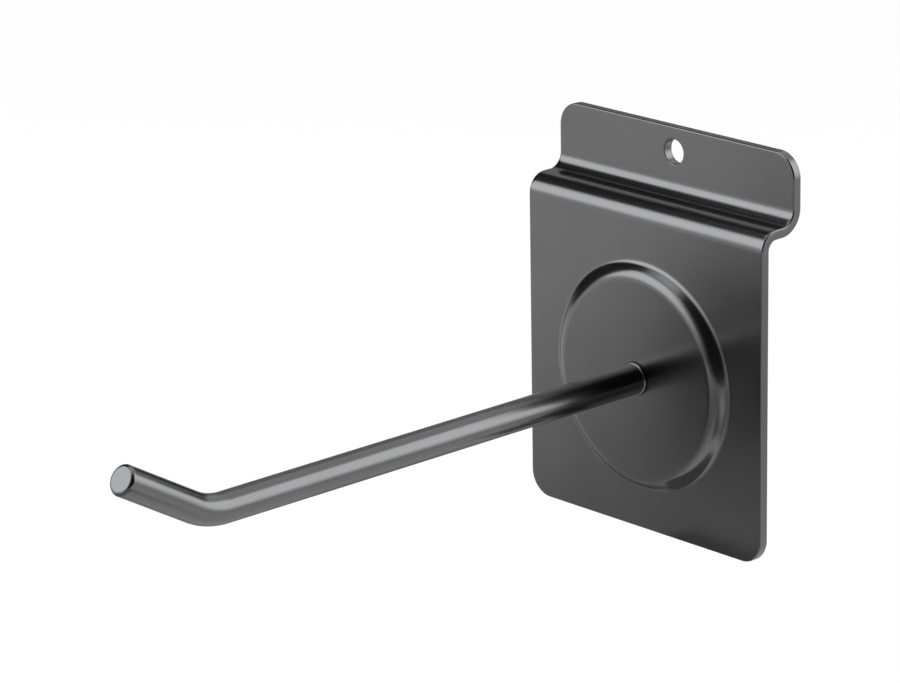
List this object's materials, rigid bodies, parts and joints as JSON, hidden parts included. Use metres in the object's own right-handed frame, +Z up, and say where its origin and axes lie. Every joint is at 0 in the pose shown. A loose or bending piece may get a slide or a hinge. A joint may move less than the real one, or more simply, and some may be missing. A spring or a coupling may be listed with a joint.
{
  "type": "slatwall holder",
  "caption": "Slatwall display hook: a stepped, embossed steel backplate whose lip enters the slot, with a straight wire rod turned up at its tip.",
  "frame": {"origin": "the point of the slatwall panel's face behind the rod's axis, midway across the plate", "axes": "+Z up, -Y along the rod towards its tip, +X to the right seen from the tip, so the panel lies at +Y"},
  "size_m": [0.063, 0.1415, 0.08],
  "materials": {
    "plated_sheet": "black nickel plate, smooth and glossy",
    "plated_wire": "black nickel plate over drawn wire, glossy with a slight grain"
  },
  "bodies": {
    "root": {"backplate": "plated_sheet", "rod": "plated_wire"}
  },
  "joints": []
}
